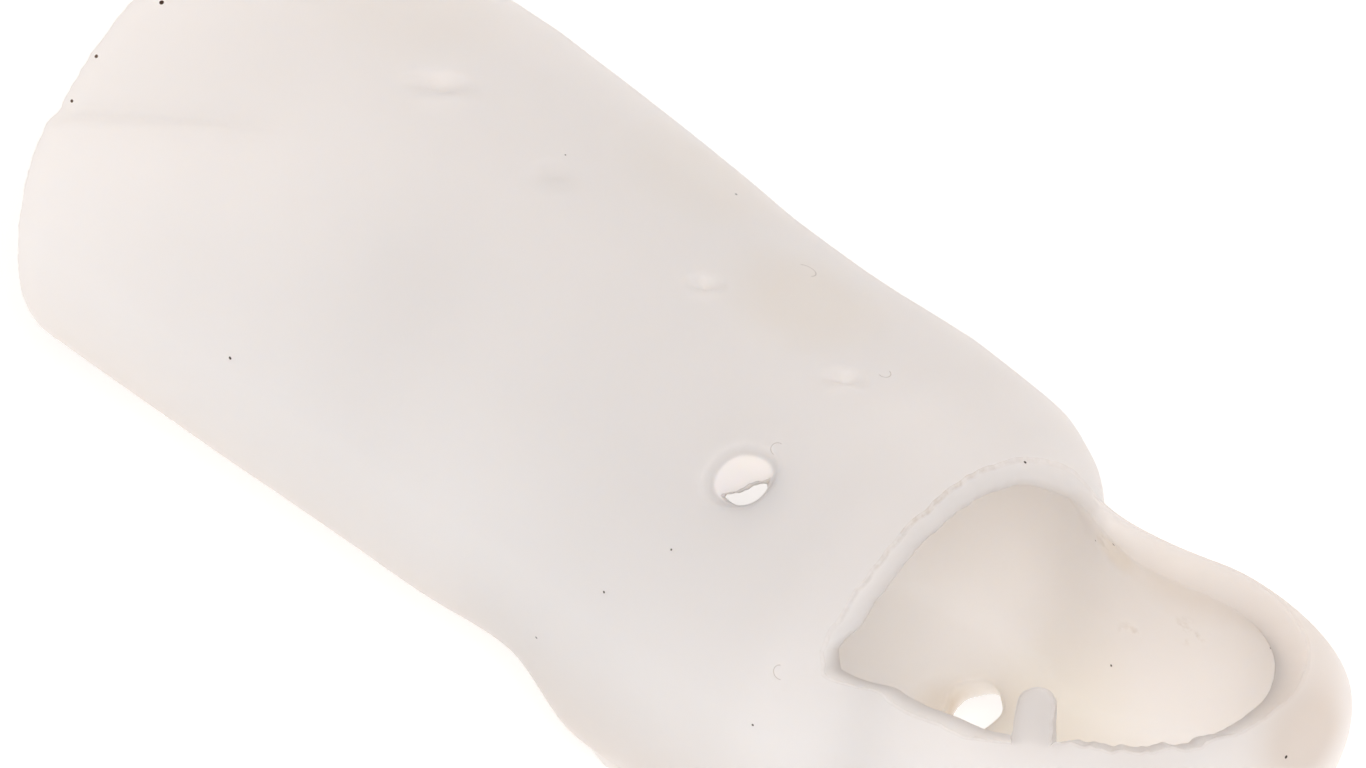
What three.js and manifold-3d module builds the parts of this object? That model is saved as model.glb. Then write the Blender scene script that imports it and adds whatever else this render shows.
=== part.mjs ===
// Moulded finger splint: one shell of perforated thermoplastic sheet, a closed tube round the finger
// that opens at the top into a tray under the fingertip. Millimetres, +X to the fingertip, +Z up.
import * as THREE from "three";
import { mergeVertices } from "three/addons/utils/BufferGeometryUtils.js";
import Module from "manifold-3d";

// Driving dimensions
const TUBE_LENGTH = 40.5; // from the open rim to the cut across the back of the finger
const TRAY_LENGTH = 15.7; // from that cut to the outside of the tip
const RIM_WIDTH = 22.4; // outside, at the open rim
const RIM_HEIGHT = 21.7; // outside, at the open rim
const TRAY_WIDTH = 14.2; // outside, under the fingertip
const SOLE_WIDTH = 14.2; // flat underside, at its widest
const TIP_RISE = 8.0; // how far the sole climbs to the tip
const TIP_SHIFT = 3.2; // how far the tip leans to +Y
const SHEET = 1.5; // wall, from 1.6 mm sheet that stretched a little
const TRAY_WALL_TOP = 16.4; // height of the tray's edge at the cut
const CUT_SLANT = 3.4; // how far the cut runs towards the tip on the far side
const TIP_ROUND = 8.2; // length over which the tip closes
const HOLE = 2.9; // the sheet's punched holes
const FILM = 0.45; // what is left over a hole that closed in moulding
const DENT_DEPTH = 0.45; // hollow left where a hole closed fully
const TAB_WIDTH = 1.4; // tongue left on the tray's near edge
const TAB_HEIGHT = 1.3; // over TRAY_WALL_TOP

// How finely the skin is divided
const ROUND_STEPS = 40;
const FLAT_STEPS = 4;
const TIP_STEPS = 7;
const HOLE_SIDES = 14;
const CUT_STEPS = 24; // along the window's edges
const TAB_STEPS = 6; // round the tongue's top
const DENT_BANDS = 3;
const CLEAR = 4; // cutters run this far past what they cut
const DENT_OVERRUN = 1.2; // a dent's cap reaches this much further round than the skin needs
const PROBE = 0.01; // step, in millimetres or radians, over which a direction on the skin is taken

// Cross-sections. station: 0 at the open rim, 1 at the cut, 2 at the tip. shift is a share of
// TIP_SHIFT, width of RIM_WIDTH up to the cut and of TRAY_WIDTH after it, belly (height of the
// widest place) and top of RIM_HEIGHT, rise of TIP_RISE and flat of SOLE_WIDTH. power is 2 for a
// round underside and more for a squarer one.
const SECTIONS = [
  { station: 0.0, shift: 0, width: 1.0, belly: 0.488, top: 1.0, rise: 0, flat: 0.17, power: 2.0 },
  { station: 0.296, shift: 0, width: 0.973, belly: 0.484, top: 0.982, rise: 0, flat: 0.17, power: 2.0 },
  { station: 0.543, shift: 0, width: 0.929, belly: 0.475, top: 0.954, rise: 0, flat: 0.22, power: 2.0 },
  { station: 0.617, shift: 0, width: 0.911, belly: 0.47, top: 0.945, rise: 0, flat: 0.48, power: 2.1 },
  { station: 0.704, shift: 0, width: 0.906, belly: 0.461, top: 0.94, rise: 0, flat: 1.0, power: 2.6 },
  { station: 0.84, shift: 0, width: 0.902, belly: 0.498, top: 0.935, rise: 0.138, flat: 1.0, power: 2.6 },
  { station: 0.95, shift: 0, width: 0.884, belly: 0.535, top: 0.935, rise: 0.3, flat: 0.98, power: 2.5 },
  { station: 1.032, shift: -0.03, width: 1.268, belly: 0.553, top: 0.917, rise: 0.4, flat: 0.9, power: 2.4 },
  { station: 1.172, shift: -0.09, width: 1.028, belly: 0.567, top: 0.912, rise: 0.5, flat: 0.73, power: 2.4 },
  { station: 1.35, shift: 0.03, width: 1.0, belly: 0.571, top: 0.917, rise: 0.612, flat: 0.69, power: 2.4 },
  { station: 1.605, shift: 0.41, width: 0.972, belly: 0.576, top: 0.899, rise: 0.75, flat: 0.68, power: 2.4 },
  { station: 2.0, shift: 1.0, width: 0.972, belly: 0.588, top: 0.857, rise: 1.0, flat: 0.68, power: 2.4 },
];

// Stations where the skin has a ring of its own, closer together where the form turns
const RINGS = [0, 0.15, 0.3, 0.43, 0.54, 0.58, 0.617, 0.65, 0.68, 0.704, 0.735, 0.77, 0.81, 0.85, 0.89, 0.93,
  0.965, 1.0, 1.035, 1.07, 1.12, 1.172, 1.24, 1.32, 1.4];

// Edge of the tray: height as a share of TRAY_WALL_TOP
const TRAY_EDGE = [
  { station: 0.9, height: 1.0 },
  { station: 1.0, height: 1.0 },
  { station: 1.12, height: 0.976 },
  { station: 1.28, height: 0.97 },
  { station: 1.47, height: 0.982 },
  { station: 1.66, height: 1.012 },
  { station: 2.2, height: 1.03 },
];

// Punched holes. turn is the angle from the top in degrees, + to +Y. through: open, film: closed by a
// thin film but for one side, dent: closed, leaving a shallow hollow. size is a share of HOLE.
const HOLES = [
  { kind: "dent", station: 0.309, turn: 5.8, size: 1.0 },
  { kind: "dent", station: 0.469, turn: 4.0, size: 0.8 },
  { kind: "dent", station: 0.664, turn: 5.6, size: 0.75 },
  { kind: "dent", station: 0.84, turn: 6.8, size: 0.8 },
  { kind: "film", station: 0.836, turn: -27, size: 0.93 },
  { kind: "through", station: 0.607, turn: 146, size: 1.0 },
  { kind: "through", station: 0.994, turn: 171, size: 1.0 },
];
const FILM_OPEN_TOWARDS = { along: 0.81, around: -0.63 }; // side of the film hole that stays open
const FILM_OPEN_FROM = 0.2; // from the hole's centre, as a share of its radius
const TAB_STATION = 1.541;
const CUT_STRAIGHT_TO = -0.2; // the cut is straight up to here, as a share of half the rim's width

const LENGTH = TUBE_LENGTH + TRAY_LENGTH;
const TIP_START = LENGTH - TIP_ROUND;
const TIP_POWER = 0.66; // 0.5 would be a blunter end, 1 a rounder one
const CORNER_INSET = 0.6; // how much of the wall the sole's inner flat gives up on each side
const TOP_POWER = 2;

function alongAt(station) {
  return station <= 1 ? station * TUBE_LENGTH : TUBE_LENGTH + (station - 1) * TRAY_LENGTH;
}

// Smooth curve through rows of [x, value] that never overshoots a row
function smoothCurve(rows) {
  const slopes = rows.slice(1).map(([x, v], i) => (v - rows[i][1]) / (x - rows[i][0]));
  const tangents = rows.map((row, i) => {
    const before = slopes[Math.max(i - 1, 0)];
    const after = slopes[Math.min(i, slopes.length - 1)];
    return before * after <= 0 ? 0 : (2 * before * after) / (before + after);
  });
  return (x) => {
    const inside = Math.min(Math.max(x, rows[0][0]), rows[rows.length - 1][0]);
    let i = 0;
    while (i < slopes.length - 1 && inside > rows[i + 1][0]) i += 1;
    const step = rows[i + 1][0] - rows[i][0];
    const t = (inside - rows[i][0]) / step;
    const rest = 1 - t;
    return rows[i][1] * (1 + 2 * t) * rest * rest
      + rows[i + 1][1] * (3 - 2 * t) * t * t
      + tangents[i] * step * t * rest * rest
      - tangents[i + 1] * step * t * t * rest;
  };
}

function sectionCurve(size) {
  return smoothCurve(SECTIONS.map((row) => [alongAt(row.station), size(row)]));
}

const skin = {
  shift: sectionCurve((row) => row.shift * TIP_SHIFT),
  half: sectionCurve((row) => (row.width * (row.station <= 1 ? RIM_WIDTH : TRAY_WIDTH)) / 2),
  belly: sectionCurve((row) => row.belly * RIM_HEIGHT),
  top: sectionCurve((row) => row.top * RIM_HEIGHT),
  sole: sectionCurve((row) => row.rise * TIP_RISE),
  flat: sectionCurve((row) => (row.flat * SOLE_WIDTH) / 2),
  power: sectionCurve((row) => row.power),
};

// Section of the skin at x, moved inwards by inset
function sectionAt(x, inset) {
  const half = skin.half(x) - inset;
  const flat = Math.max(skin.flat(x) - CORNER_INSET * inset, CORNER_INSET);
  const power = skin.power(x);
  const share = flat / half;
  const sole = skin.sole(x) + inset;
  const belly = skin.belly(x);
  return {
    shift: skin.shift(x),
    half,
    belly,
    crown: skin.top(x) - inset - belly,
    depth: (belly - sole) / (1 - share ** power) ** (1 / power),
    power,
    corner: Math.PI - Math.asin(share ** (power / 2)),
  };
}

// Point of a section: angle 0 at the top, + to +Y, scale 1 on the skin and 0 at its middle
function sectionPoint(x, section, angle, scale) {
  const over = Math.abs(angle) <= Math.PI / 2;
  const power = 2 / (over ? TOP_POWER : section.power);
  const rise = over ? section.crown : section.depth;
  const side = Math.sin(angle);
  const up = Math.cos(angle);
  return new THREE.Vector3(
    x,
    section.shift + scale * section.half * Math.sign(side) * Math.abs(side) ** power,
    section.belly + scale * rise * Math.sign(up) * Math.abs(up) ** power,
  );
}

// One ring: round from corner to corner of the sole over the top, then back along the flat sole
function ring(x, inset, scale) {
  const section = sectionAt(x, inset);
  const points = [];
  for (let i = 0; i <= ROUND_STEPS; i += 1) {
    points.push(sectionPoint(x, section, section.corner * ((2 * i) / ROUND_STEPS - 1), scale));
  }
  const far = points[ROUND_STEPS];
  for (let i = 1; i < FLAT_STEPS; i += 1) {
    points.push(far.clone().lerp(points[0], i / FLAT_STEPS));
  }
  return points;
}

// Closed finger form, inset from the skin, from x = start to its round tip
function fingerForm(start, inset) {
  const end = LENGTH - inset;
  const rings = RINGS.map(alongAt)
    .filter((x) => x > start && x < TIP_START)
    .map((x) => ring(x, inset, 1));
  rings.unshift(ring(start, inset, 1));
  for (let i = 0; i < TIP_STEPS; i += 1) {
    const turn = (Math.PI / 2) * (i / TIP_STEPS);
    const x = TIP_START + (end - TIP_START) * Math.sin(turn);
    rings.push(ring(x, inset, Math.cos(turn) ** TIP_POWER));
  }
  const last = sectionAt(end, inset);
  return loft(rings, new THREE.Vector3(end, last.shift, last.belly));
}

// Joins rings into a closed surface: flat at the first ring, brought to a point after the last
function loft(rings, tip) {
  const count = rings[0].length;
  const positions = rings.flat().flatMap((p) => [p.x, p.y, p.z]);
  const middle = rings[0].reduce((sum, p) => sum.add(p), new THREE.Vector3()).divideScalar(count);
  positions.push(middle.x, middle.y, middle.z, tip.x, tip.y, tip.z);
  const middleIndex = rings.length * count;
  const tipIndex = middleIndex + 1;
  const index = [];
  for (let i = 0; i < rings.length - 1; i += 1) {
    for (let j = 0; j < count; j += 1) {
      const a = i * count + j;
      const b = i * count + ((j + 1) % count);
      index.push(a, a + count, b, b, a + count, b + count);
    }
  }
  const lastRing = (rings.length - 1) * count;
  for (let j = 0; j < count; j += 1) {
    const next = (j + 1) % count;
    index.push(middleIndex, j, next);
    index.push(tipIndex, lastRing + next, lastRing + j);
  }
  const geometry = new THREE.BufferGeometry();
  geometry.setAttribute("position", new THREE.Float32BufferAttribute(positions, 3));
  geometry.setIndex(index);
  return geometry;
}

const wasm = await Module();
wasm.setup();

function solidFrom(geometry) {
  const bare = geometry.clone();
  bare.deleteAttribute("normal");
  bare.deleteAttribute("uv");
  const merged = mergeVertices(bare, 1e-5);
  return new wasm.Manifold(new wasm.Mesh({
    numProp: 3,
    vertProperties: new Float32Array(merged.attributes.position.array),
    triVerts: new Uint32Array(merged.index.array),
  }));
}

// What is cut away above the fingertip: everything over the tray's edge and past the slanted cut
function windowCutter() {
  const over = RIM_HEIGHT + CLEAR;
  const reach = LENGTH + CLEAR;
  const side = new THREE.Shape();
  const edge = smoothCurve(TRAY_EDGE.map((row) => [alongAt(row.station), row.height * TRAY_WALL_TOP]));
  const first = alongAt(TRAY_EDGE[0].station);
  side.moveTo(first, over);
  for (let i = 0; i <= CUT_STEPS; i += 1) {
    const x = first + ((reach - first) * i) / CUT_STEPS;
    side.lineTo(x, edge(x));
  }
  side.lineTo(reach, over);
  const sideSolid = new THREE.ExtrudeGeometry(side, { depth: 2 * RIM_WIDTH, bevelEnabled: false });
  sideSolid.rotateX(Math.PI / 2).translate(0, RIM_WIDTH, 0);

  // In plan the cut is straight across on the near side and curves towards the tip on the far one
  const plan = new THREE.Shape();
  const halfWidth = RIM_WIDTH / 2;
  const straightTo = CUT_STRAIGHT_TO * halfWidth;
  plan.moveTo(reach, -RIM_WIDTH);
  plan.lineTo(reach, RIM_WIDTH);
  for (let i = CUT_STEPS; i >= 0; i -= 1) {
    const y = straightTo + ((halfWidth - straightTo) * i) / CUT_STEPS;
    const share = (y - straightTo) / (TRAY_WIDTH / 2 - straightTo);
    plan.lineTo(TUBE_LENGTH + CUT_SLANT * share ** 3, y);
  }
  plan.lineTo(TUBE_LENGTH, -RIM_WIDTH);
  const planSolid = new THREE.ExtrudeGeometry(plan, { depth: over, bevelEnabled: false });
  return solidFrom(sideSolid).intersect(solidFrom(planSolid));
}

// Tongue that the cut leaves standing on the near edge: upright, round at the top
function tabKeeper() {
  const x = alongAt(TAB_STATION);
  const half = TAB_WIDTH / 2;
  const low = TRAY_WALL_TOP - CLEAR;
  const straight = TRAY_WALL_TOP + TAB_HEIGHT - half;
  const outline = new THREE.Shape();
  outline.moveTo(x - half, low);
  outline.lineTo(x + half, low);
  outline.lineTo(x + half, straight);
  outline.absarc(x, straight, half, 0, Math.PI, false);
  outline.closePath();
  const shape = new THREE.ExtrudeGeometry(outline, {
    depth: RIM_WIDTH,
    bevelEnabled: false,
    curveSegments: TAB_STEPS,
  });
  shape.rotateX(Math.PI / 2);
  return solidFrom(shape);
}

// Place and directions of a hole on the skin
function holeFrame(row) {
  const angle = THREE.MathUtils.degToRad(row.turn);
  const at = (x, turn) => {
    const point = sectionPoint(x, sectionAt(x, 0), turn, 1);
    point.z = Math.max(point.z, skin.sole(x));
    return point;
  };
  const x = alongAt(row.station);
  const along = at(x + PROBE, angle).sub(at(x - PROBE, angle)).normalize();
  const around = at(x, angle + PROBE).sub(at(x, angle - PROBE)).normalize();
  const outward = new THREE.Vector3().crossVectors(along, around).negate().normalize();
  return { place: at(x, angle), along, around, outward };
}

// Round cutter along a hole's own direction, from depth below the skin to well above it
function drill(frame, radius, depth) {
  const length = depth + CLEAR;
  const cutter = new THREE.CylinderGeometry(radius, radius, length, HOLE_SIDES);
  const up = new THREE.Vector3(0, 1, 0);
  cutter.applyQuaternion(new THREE.Quaternion().setFromUnitVectors(up, frame.outward));
  const middle = frame.place.clone().addScaledVector(frame.outward, length / 2 - depth);
  cutter.translate(middle.x, middle.y, middle.z);
  return solidFrom(cutter);
}

// Half-space block that keeps the side of a film hole which stays open
function openSide(frame, radius) {
  const towards = frame.along.clone().multiplyScalar(FILM_OPEN_TOWARDS.along)
    .addScaledVector(frame.around, FILM_OPEN_TOWARDS.around)
    .normalize();
  const across = new THREE.Vector3().crossVectors(frame.outward, towards);
  const size = 4 * radius + CLEAR;
  const block = new THREE.BoxGeometry(size, size, size);
  block.applyMatrix4(new THREE.Matrix4().makeBasis(towards, across, frame.outward));
  const middle = frame.place.clone().addScaledVector(towards, size / 2 + FILM_OPEN_FROM * radius);
  block.translate(middle.x, middle.y, middle.z);
  return solidFrom(block);
}

// Shallow hollow: the cap of a ball that sinks DENT_DEPTH into the skin
function dentCutter(frame, radius) {
  const ball = (radius * radius + DENT_DEPTH * DENT_DEPTH) / (2 * DENT_DEPTH);
  const middle = frame.place.clone().addScaledVector(frame.outward, ball - DENT_DEPTH);
  const polar = Math.asin(Math.min(radius / ball, 1)) * DENT_OVERRUN;
  const profile = [new THREE.Vector2(0, 0)];
  for (let i = DENT_BANDS; i >= 0; i -= 1) {
    const turn = (polar * i) / DENT_BANDS;
    profile.push(new THREE.Vector2(ball * Math.sin(turn), -ball * Math.cos(turn)));
  }
  profile[profile.length - 1].x = 0;
  const cap = new THREE.LatheGeometry(profile.reverse(), HOLE_SIDES);
  const up = new THREE.Vector3(0, 1, 0);
  cap.applyQuaternion(new THREE.Quaternion().setFromUnitVectors(up, frame.outward));
  cap.translate(middle.x, middle.y, middle.z);
  return solidFrom(cap);
}

function cutHole(solid, row) {
  const frame = holeFrame(row);
  const radius = (row.size * HOLE) / 2;
  const through = 2 * SHEET;
  if (row.kind === "through") return solid.subtract(drill(frame, radius, through));
  if (row.kind === "dent") return solid.subtract(dentCutter(frame, radius));
  const slot = drill(frame, radius, through).intersect(openSide(frame, radius));
  return solid.subtract(drill(frame, radius, SHEET - FILM)).subtract(slot);
}

function splintShell() {
  const hollow = solidFrom(fingerForm(-CLEAR, SHEET));
  const window = windowCutter().subtract(tabKeeper());
  let shell = solidFrom(fingerForm(0, 0)).subtract(hollow).subtract(window);
  for (const row of HOLES) {
    shell = cutHole(shell, row);
  }
  const mesh = shell.getMesh();
  const geometry = new THREE.BufferGeometry();
  geometry.setAttribute("position", new THREE.Float32BufferAttribute(mesh.vertProperties, 3));
  geometry.setIndex(Array.from(mesh.triVerts));
  geometry.computeVertexNormals();
  const sheet = new THREE.MeshStandardMaterial({ color: 0xf0e8e4, roughness: 0.5, metalness: 0 });
  const shellMesh = new THREE.Mesh(geometry, sheet);
  shellMesh.name = "splint_shell";
  return shellMesh;
}

// The origin is under the middle of the splint's box, on the surface that it lies on
const splint = new THREE.Group();
const shell = splintShell();
shell.position.set(-LENGTH / 2, 0, 0);
splint.add(shell);

export default splint;
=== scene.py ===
import math

import bpy
import numpy as np
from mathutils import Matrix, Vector, noise
from mathutils.bvhtree import BVHTree
from mathutils.geometry import delaunay_2d_cdt


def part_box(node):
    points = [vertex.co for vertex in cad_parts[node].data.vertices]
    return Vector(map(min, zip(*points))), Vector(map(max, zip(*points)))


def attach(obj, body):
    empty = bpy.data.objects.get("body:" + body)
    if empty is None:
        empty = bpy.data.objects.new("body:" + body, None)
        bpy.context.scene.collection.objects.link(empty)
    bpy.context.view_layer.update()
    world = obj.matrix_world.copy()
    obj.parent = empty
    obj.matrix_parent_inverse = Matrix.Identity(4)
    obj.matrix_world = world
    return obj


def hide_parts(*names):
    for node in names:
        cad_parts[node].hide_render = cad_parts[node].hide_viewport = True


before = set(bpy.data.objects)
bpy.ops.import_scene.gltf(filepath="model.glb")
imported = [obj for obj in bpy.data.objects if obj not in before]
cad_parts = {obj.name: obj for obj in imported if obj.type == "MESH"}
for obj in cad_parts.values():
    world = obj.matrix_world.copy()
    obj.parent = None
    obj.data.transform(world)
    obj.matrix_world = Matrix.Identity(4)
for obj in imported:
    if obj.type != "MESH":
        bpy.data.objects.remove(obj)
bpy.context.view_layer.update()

# The splint shell
# One sheet of perforated thermoplastic, warmed in water and moulded round the finger. Its back was cut
# off with scissors over the last joint, which leaves a tray under the fingertip. Nothing is fixed to
# it. All sizes here are in millimetres, with x from the open rim.
MM = 0.001
TUBE_LENGTH = 40.5
TRAY_LENGTH = 15.7
RIM_WIDTH = 22.4
RIM_HEIGHT = 21.7
TRAY_WIDTH = 14.2
SOLE_WIDTH = 14.2
TIP_RISE = 8.0
TIP_SHIFT = 3.2
SHEET = 1.5
TRAY_WALL_TOP = 16.4
CUT_SLANT = 3.4
TIP_ROUND = 8.2
TIP_POWER = 0.66
CORNER_INSET = 0.6
TOP_POWER = 2.0
LENGTH = TUBE_LENGTH + TRAY_LENGTH
TIP_START = LENGTH - TIP_ROUND

# Cross-sections, as shares of the sizes above: station 0 is the open rim, 1 the cut and 2 the tip
SECTION_COLUMNS = ("station", "shift", "width", "belly", "top", "rise", "flat", "power")
SECTIONS = (
    (0.0, 0.0, 1.0, 0.488, 1.0, 0.0, 0.17, 2.0),
    (0.296, 0.0, 0.973, 0.484, 0.982, 0.0, 0.17, 2.0),
    (0.543, 0.0, 0.929, 0.475, 0.954, 0.0, 0.22, 2.0),
    (0.617, 0.0, 0.911, 0.47, 0.945, 0.0, 0.48, 2.1),
    (0.704, 0.0, 0.906, 0.461, 0.94, 0.0, 1.0, 2.6),
    (0.84, 0.0, 0.902, 0.498, 0.935, 0.138, 1.0, 2.6),
    (0.95, 0.0, 0.884, 0.535, 0.935, 0.3, 0.98, 2.5),
    (1.032, -0.03, 1.268, 0.553, 0.917, 0.4, 0.9, 2.4),
    (1.172, -0.09, 1.028, 0.567, 0.912, 0.5, 0.73, 2.4),
    (1.35, 0.03, 1.0, 0.571, 0.917, 0.612, 0.69, 2.4),
    (1.605, 0.41, 0.972, 0.576, 0.899, 0.75, 0.68, 2.4),
    (2.0, 1.0, 0.972, 0.588, 0.857, 1.0, 0.68, 2.4),
)
# Height of the tray's edge, as shares of TRAY_WALL_TOP
TRAY_EDGE = ((0.9, 1.0), (1.0, 1.0), (1.12, 0.976), (1.28, 0.97), (1.47, 0.982), (1.66, 1.012), (2.2, 1.03))


def along_at(station):
    station = np.asarray(station, float)
    return np.where(station <= 1, station * TUBE_LENGTH, TUBE_LENGTH + (station - 1) * TRAY_LENGTH)


def smooth_curve(xs, values):
    """A curve through the rows that never overshoots one."""
    xs = np.asarray(xs, float)
    values = np.asarray(values, float)
    slopes = np.diff(values) / np.diff(xs)
    before = np.r_[slopes[0], slopes]
    after = np.r_[slopes, slopes[-1]]
    total = np.where(before * after > 0, before + after, 1.0)
    tangents = np.where(before * after > 0, 2 * before * after / total, 0.0)

    def at(x):
        x = np.clip(np.asarray(x, float), xs[0], xs[-1])
        i = np.clip(np.searchsorted(xs, x, side="left") - 1, 0, len(slopes) - 1)
        step = xs[i + 1] - xs[i]
        t = (x - xs[i]) / step
        rest = 1 - t
        value = values[i] * (1 + 2 * t) * rest**2 + values[i + 1] * (3 - 2 * t) * t**2
        return value + step * (tangents[i] * t * rest**2 - tangents[i + 1] * t**2 * rest)

    return at


def section_curve(name, size, size_of_tray=None):
    rows = np.array(SECTIONS)
    stations = rows[:, SECTION_COLUMNS.index("station")]
    shares = rows[:, SECTION_COLUMNS.index(name)]
    tray = size if size_of_tray is None else size_of_tray
    return smooth_curve(along_at(stations), shares * np.where(stations <= 1, size, tray))


shift_at = section_curve("shift", TIP_SHIFT)
half_at = section_curve("width", RIM_WIDTH / 2, TRAY_WIDTH / 2)
belly_at = section_curve("belly", RIM_HEIGHT)
top_at = section_curve("top", RIM_HEIGHT)
sole_at = section_curve("rise", TIP_RISE)
flat_at = section_curve("flat", SOLE_WIDTH / 2)
power_at = section_curve("power", 1.0)
tray_edge_at = smooth_curve(along_at([row[0] for row in TRAY_EDGE]),
                            [row[1] * TRAY_WALL_TOP for row in TRAY_EDGE])


def tip_scale(x):
    """How far the section has shrunk at x: 1 until the tip begins, 0 at its end."""
    share = np.clip((x - TIP_START) / TIP_ROUND, 0, 1)
    return np.sqrt(1 - share**2) ** TIP_POWER


def ring(x, scale, inset, turns):
    """Points round a section, for turns from 0 to 1: along the sole from its middle to the far
    corner, over the top to the near corner and back to the middle."""
    half = half_at(x) - inset
    flat = np.maximum(flat_at(x) - CORNER_INSET * inset, CORNER_INSET)
    power = power_at(x)
    share = flat / half
    sole = sole_at(x) + inset
    belly = belly_at(x)
    crown = top_at(x) - inset - belly
    depth = (belly - sole) / (1 - share**power) ** (1 / power)
    corner = math.pi - np.arcsin(share ** (power / 2))
    sole_part = 0.12
    over = (turns - sole_part) / (1 - 2 * sole_part)
    angle = corner * (1 - 2 * np.clip(over, 0, 1))
    side = np.sin(angle)
    up = np.cos(angle)
    bend = 2 / np.where(up >= 0, TOP_POWER, power)
    y = half * np.sign(side) * np.abs(side) ** bend
    z = np.where(up >= 0, crown, depth) * np.sign(up) * np.abs(up) ** bend
    on_sole = (over < 0) | (over > 1)
    flat_share = np.where(over < 0, turns, turns - 1) / sole_part
    y = np.where(on_sole, flat * flat_share, y)
    z = np.where(on_sole, sole - belly, z)
    return np.stack([x + 0 * y, shift_at(x) + scale * y, belly + scale * z], -1)


# The skin as a dense net of points, outside and inside, from which every place is read
NET_ALONG = 420
NET_TIP = 70
NET_ROUND = 560
CORNER_ROUND = 0.32  # softening of the sole's corner
OUTER_SMOOTHING = 0.35
INNER_SMOOTHING = 1.6
SOLE_LIP = 0.45  # how far the squeezed lip stands out at the sole's corner
LIP_WIDTH = 0.55
LIP_START = 27.0
LIP_MIDDLE = 29.6
LIP_REACH = 2.2


def blurred_round(net, spread):
    """Softens a net round its rings; spread is in millimetres."""
    size = net.shape[1]
    length = np.linalg.norm(np.roll(net, -1, 1) - net, axis=2).sum(1)
    waves = np.fft.fftfreq(size)[None, :, None]
    sigma = (spread / length * size)[:, None, None]
    softened = np.fft.fft(net, axis=1) * np.exp(-2 * (math.pi * sigma * waves) ** 2)
    return np.real(np.fft.ifft(softened, axis=1))


def make_nets():
    tube = np.linspace(0, TIP_START, NET_ALONG)
    turn = (math.pi / 2) * (1 - (1 - np.linspace(0, 1, NET_TIP + 1)[1:]) ** 1.5)
    turn[-1] = (math.pi / 2) * 0.9995
    turns = np.arange(NET_ROUND * 4) / (NET_ROUND * 4)
    nets = []
    for inset in (0.0, SHEET):
        reach = LENGTH - inset - TIP_START
        x = np.r_[tube, TIP_START + reach * np.sin(turn)]
        scale = np.r_[np.ones(NET_ALONG), np.cos(turn) ** TIP_POWER]
        nets.append(ring(x[:, None], scale[:, None], inset, turns[None, :]))
    outer, inner = nets
    steps = np.linalg.norm(np.roll(outer, -1, 1) - outer, axis=2)
    walked = np.concatenate([np.zeros((len(outer), 1)), np.cumsum(steps, 1)], 1)
    even = np.arange(NET_ROUND) / NET_ROUND
    even_outer = np.zeros((len(outer), NET_ROUND, 3))
    even_inner = np.zeros_like(even_outer)
    for i in range(len(outer)):
        share = walked[i] / walked[i, -1]
        for axis in range(3):
            even_outer[i, :, axis] = np.interp(even, share, np.r_[outer[i, :, axis], outer[i, 0, axis]])
            even_inner[i, :, axis] = np.interp(even, share, np.r_[inner[i, :, axis], inner[i, 0, axis]])
    return blurred_round(even_outer, CORNER_ROUND), blurred_round(even_inner, CORNER_ROUND)


def smoothed_along(net, spread):
    """Softens a net from ring to ring; spread is in millimetres."""
    step = TIP_START / (NET_ALONG - 1)
    net = net.copy()
    for _ in range(int(2 * (spread / step) ** 2)):
        net[1:-1] += 0.25 * (net[2:] - 2 * net[1:-1] + net[:-2])
    return net


outer_net, inner_net = make_nets()
outer_net[:NET_ALONG] = smoothed_along(outer_net[:NET_ALONG], OUTER_SMOOTHING)
inner_net[:NET_ALONG] = smoothed_along(inner_net[:NET_ALONG], INNER_SMOOTHING)


def net_normals(net):
    along = np.gradient(net, axis=0)
    around = np.roll(net, -1, 1) - np.roll(net, 1, 1)
    normals = np.cross(around, along)
    normals /= np.maximum(np.linalg.norm(normals, axis=2, keepdims=True), 1e-9)
    outward = np.sign(np.sum(normals[0] * (net[0] - net[0].mean(0)), axis=1).mean())
    return normals * outward


def add_sole_lip(net, normals):
    """The warm sheet was pressed flat under the fingertip and squeezed out at the corner."""
    x = net[:, :, 0]
    side = net[:, :, 1] - shift_at(x)
    scale = tip_scale(x)
    corner_y = flat_at(x) * scale
    corner_z = belly_at(x) - scale * (belly_at(x) - sole_at(x))
    away = np.hypot(np.abs(side) - corner_y, net[:, :, 2] - corner_z)
    start = np.clip((x - LIP_START) / LIP_REACH, 0, 1)
    along = (0.15 + 1.5 * np.exp(-(((x - LIP_MIDDLE) / LIP_REACH) ** 2))) * start**2 * (3 - 2 * start)
    amount = SOLE_LIP * np.exp(-((away / LIP_WIDTH) ** 2)) * along
    outwards = normals.copy()
    outwards[:, :, 2] *= 0.15
    outwards /= np.maximum(np.linalg.norm(outwards, axis=2, keepdims=True), 1e-9)
    return net + outwards * amount[:, :, None]


outer_net = add_sole_lip(outer_net, net_normals(outer_net))
outer_normals = net_normals(outer_net)
ring_length = np.linalg.norm(np.roll(outer_net, -1, 1) - outer_net, axis=2).sum(1)
ring_steps = np.linalg.norm(np.diff(outer_net, axis=0), axis=2).mean(1)
ring_walk = np.r_[0, np.cumsum(ring_steps)]
# A flat map of the skin that keeps its angles: the rim is a circle of radius 1 and the tip its centre
map_shrink = ring_steps * 2 * math.pi / ((ring_length[1:] + ring_length[:-1]) / 2)
map_radius = np.exp(-np.r_[0, np.cumsum(map_shrink)])


def read_net(net, rows, turns):
    """Value of a net at fractional rows and at turns from 0 to 1."""
    i = np.clip(np.floor(rows).astype(int), 0, net.shape[0] - 2)
    t = (rows - i)[:, None]
    place = (turns % 1.0) * NET_ROUND
    j = np.floor(place).astype(int) % NET_ROUND
    s = (place - np.floor(place))[:, None]
    k = (j + 1) % NET_ROUND
    low = net[i, j] * (1 - s) + net[i, k] * s
    high = net[i + 1, j] * (1 - s) + net[i + 1, k] * s
    return low * (1 - t) + high * t


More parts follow.
